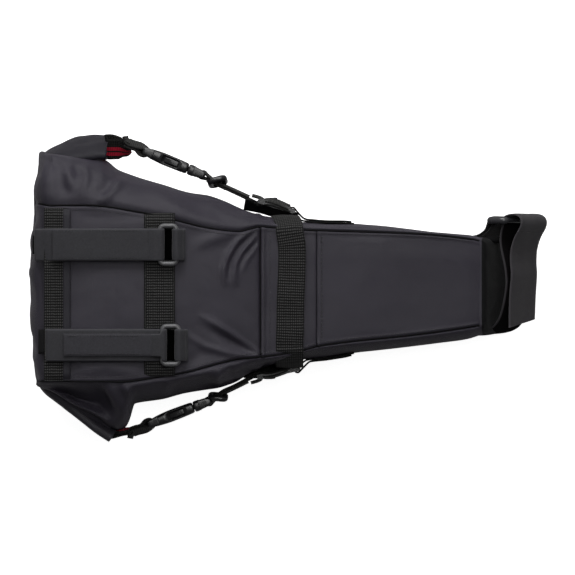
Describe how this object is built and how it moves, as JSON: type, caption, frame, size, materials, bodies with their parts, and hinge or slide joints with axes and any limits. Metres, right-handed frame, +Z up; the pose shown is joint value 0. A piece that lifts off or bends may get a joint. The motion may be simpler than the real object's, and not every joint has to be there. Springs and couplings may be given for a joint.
{
  "type": "saddle bag",
  "caption": "Tapered bikepacking saddle bag with roll-top tail, hook-and-loop saddle rail straps, side buckles and a seat post strap.",
  "frame": {"origin": "on the underside of the bag, at the centre of its plan", "axes": "+X towards the nose and the seat post, +Y to the rider's left, +Z up towards the saddle rails"},
  "size_m": [0.3974, 0.2301, 0.1273],
  "materials": {
    "shell_fabric": "satin",
    "nose_fabric": "matte",
    "webbing": "matte",
    "striped_webbing": "matte",
    "hook_and_loop": "matte",
    "hook_tape": "matte",
    "ring_plastic": "satin",
    "buckle_plastic": "satin",
    "stiffener_sheet": "matte"
  },
  "bodies": {
    "bag": {"base_stiffener": "stiffener_sheet", "bottom_panel": "shell_fabric", "buckle_loop_left": "webbing", "buckle_loop_right": "webbing", "buckle_male_left": "buckle_plastic", "buckle_male_right": "buckle_plastic", "closure_roll": "shell_fabric", "closure_stiffener": "stiffener_sheet", "closure_tab_left": "striped_webbing", "closure_tab_right": "striped_webbing", "compression_webbing": "webbing", "cross_webbing_front": "webbing", "cross_webbing_rear": "webbing", "mouth_sleeve": "shell_fabric", "nose_end_panel": "nose_fabric", "nose_panel": "shell_fabric", "nose_stiffener": "stiffener_sheet", "rail_ring_loop_left": "webbing", "rail_ring_loop_right": "webbing", "rail_strap_left": "hook_and_loop", "rail_strap_right": "hook_and_loop", "seatpost_ring_loop": "webbing", "seatpost_strap": "hook_and_loop", "side_anchor_left": "striped_webbing", "side_anchor_right": "striped_webbing", "side_panel_left": "shell_fabric", "side_panel_right": "shell_fabric", "side_strap_left": "webbing", "side_strap_right": "webbing", "top_panel": "shell_fabric", "yoke_panel": "shell_fabric"},
    "buckle_socket_left": {"buckle_female_left": "buckle_plastic"},
    "arm_upper_left": {"buckle_arm_upper_left": "buckle_plastic"},
    "arm_lower_left": {"buckle_arm_lower_left": "buckle_plastic"},
    "slider_left": {"triglide_left": "buckle_plastic"},
    "ladder_left": {"ladder_lock_left": "buckle_plastic"},
    "rail_ring_left": {"rail_ring_left": "ring_plastic"},
    "rail_tab_left": {"rail_strap_tab_left": "hook_and_loop", "rail_hook_patch_left": "hook_tape"},
    "buckle_socket_right": {"buckle_female_right": "buckle_plastic"},
    "arm_upper_right": {"buckle_arm_upper_right": "buckle_plastic"},
    "arm_lower_right": {"buckle_arm_lower_right": "buckle_plastic"},
    "slider_right": {"triglide_right": "buckle_plastic"},
    "ladder_right": {"ladder_lock_right": "buckle_plastic"},
    "rail_ring_right": {"rail_ring_right": "ring_plastic"},
    "rail_tab_right": {"rail_strap_tab_right": "hook_and_loop", "rail_hook_patch_right": "hook_tape"},
    "seatpost_ring": {"seatpost_ring": "ring_plastic"},
    "seatpost_tab": {"seatpost_strap_tab": "hook_and_loop", "seatpost_hook_patch": "hook_tape"}
  },
  "joints": [
    {"name": "buckle_release_left", "type": "slide", "parent": "bag", "child": "buckle_socket_left", "axis": [-0.9252, 0.3795, 0], "range_m": [0, 0.022], "deforming": ["closure_tab_left", "buckle_loop_left", "buckle_arm_upper_left", "buckle_arm_lower_left"]},
    {"name": "squeeze_upper_left", "type": "hinge", "parent": "bag", "child": "arm_upper_left", "pos_m": [-0.07788, 0.09278, 0.0712], "axis": [-0.3795, -0.9252, 0], "range_deg": [0, 8]},
    {"name": "squeeze_lower_left", "type": "hinge", "parent": "bag", "child": "arm_lower_left", "pos_m": [-0.07788, 0.09278, 0.0568], "axis": [0.3795, 0.9252, 0], "range_deg": [0, 8]},
    {"name": "slider_travel_left", "type": "slide", "parent": "bag", "child": "slider_left", "axis": [0.909, -0.4169, 0], "range_m": [0, 0.016], "deforming": ["side_strap_left"]},
    {"name": "ladder_lock_swing_left", "type": "hinge", "parent": "bag", "child": "ladder_left", "pos_m": [0.0042, 0.0596, 0.064], "axis": [0, 0, -1], "range_deg": [-3, 20], "deforming": ["side_strap_left"]},
    {"name": "rail_ring_tilt_left", "type": "hinge", "parent": "bag", "child": "rail_ring_left", "pos_m": [-0.086, 0.0332, 0.12371], "axis": [0, 1, 0], "range_deg": [0, 45], "deforming": ["rail_strap_left"]},
    {"name": "rail_tab_peel_left", "type": "hinge", "parent": "rail_ring_left", "child": "rail_tab_left", "pos_m": [-0.1078, 0.0332, 0.12474], "axis": [0, 1, 0], "range_deg": [0, 120]},
    {"name": "buckle_release_right", "type": "slide", "parent": "bag", "child": "buckle_socket_right", "axis": [-0.9336, -0.3584, 0], "range_m": [0, 0.022], "deforming": ["closure_tab_right", "buckle_loop_right", "buckle_arm_upper_right", "buckle_arm_lower_right"]},
    {"name": "squeeze_upper_right", "type": "hinge", "parent": "bag", "child": "arm_upper_right", "pos_m": [-0.07347, -0.09357, 0.0712], "axis": [0.3584, -0.9336, 0], "range_deg": [0, 8]},
    {"name": "squeeze_lower_right", "type": "hinge", "parent": "bag", "child": "arm_lower_right", "pos_m": [-0.07347, -0.09357, 0.0568], "axis": [-0.3584, 0.9336, 0], "range_deg": [0, 8]},
    {"name": "slider_travel_right", "type": "slide", "parent": "bag", "child": "slider_right", "axis": [0.8992, 0.4374, 0], "range_m": [0, 0.015], "deforming": ["side_strap_right"]},
    {"name": "ladder_lock_swing_right", "type": "hinge", "parent": "bag", "child": "ladder_right", "pos_m": [0.008, -0.0634, 0.064], "axis": [0, 0, 1], "range_deg": [-3, 20], "deforming": ["side_strap_right"]},
    {"name": "rail_ring_tilt_right", "type": "hinge", "parent": "bag", "child": "rail_ring_right", "pos_m": [-0.0841, -0.0446, 0.12361], "axis": [0, 1, 0], "range_deg": [0, 45], "deforming": ["rail_strap_right"]},
    {"name": "rail_tab_peel_right", "type": "hinge", "parent": "rail_ring_right", "child": "rail_tab_right", "pos_m": [-0.1059, -0.0446, 0.1247], "axis": [0, 1, 0], "range_deg": [0, 120]},
    {"name": "seatpost_ring_tilt", "type": "hinge", "parent": "bag", "child": "seatpost_ring", "pos_m": [0.17056, 0.0525, 0.03728], "axis": [-0.5592, 0, 0.829], "range_deg": [0, 25], "deforming": ["seatpost_strap"]},
    {"name": "seatpost_tab_peel", "type": "hinge", "parent": "seatpost_ring", "child": "seatpost_tab", "pos_m": [0.18362, 0.0425, 0.04609], "axis": [-0.5592, 0, 0.829], "range_deg": [0, 120]}
  ],
  "couplings": [
    {"joint": "squeeze_lower_left", "follows": "squeeze_upper_left", "ratio": 1},
    {"joint": "squeeze_lower_right", "follows": "squeeze_upper_right", "ratio": 1}
  ]
}
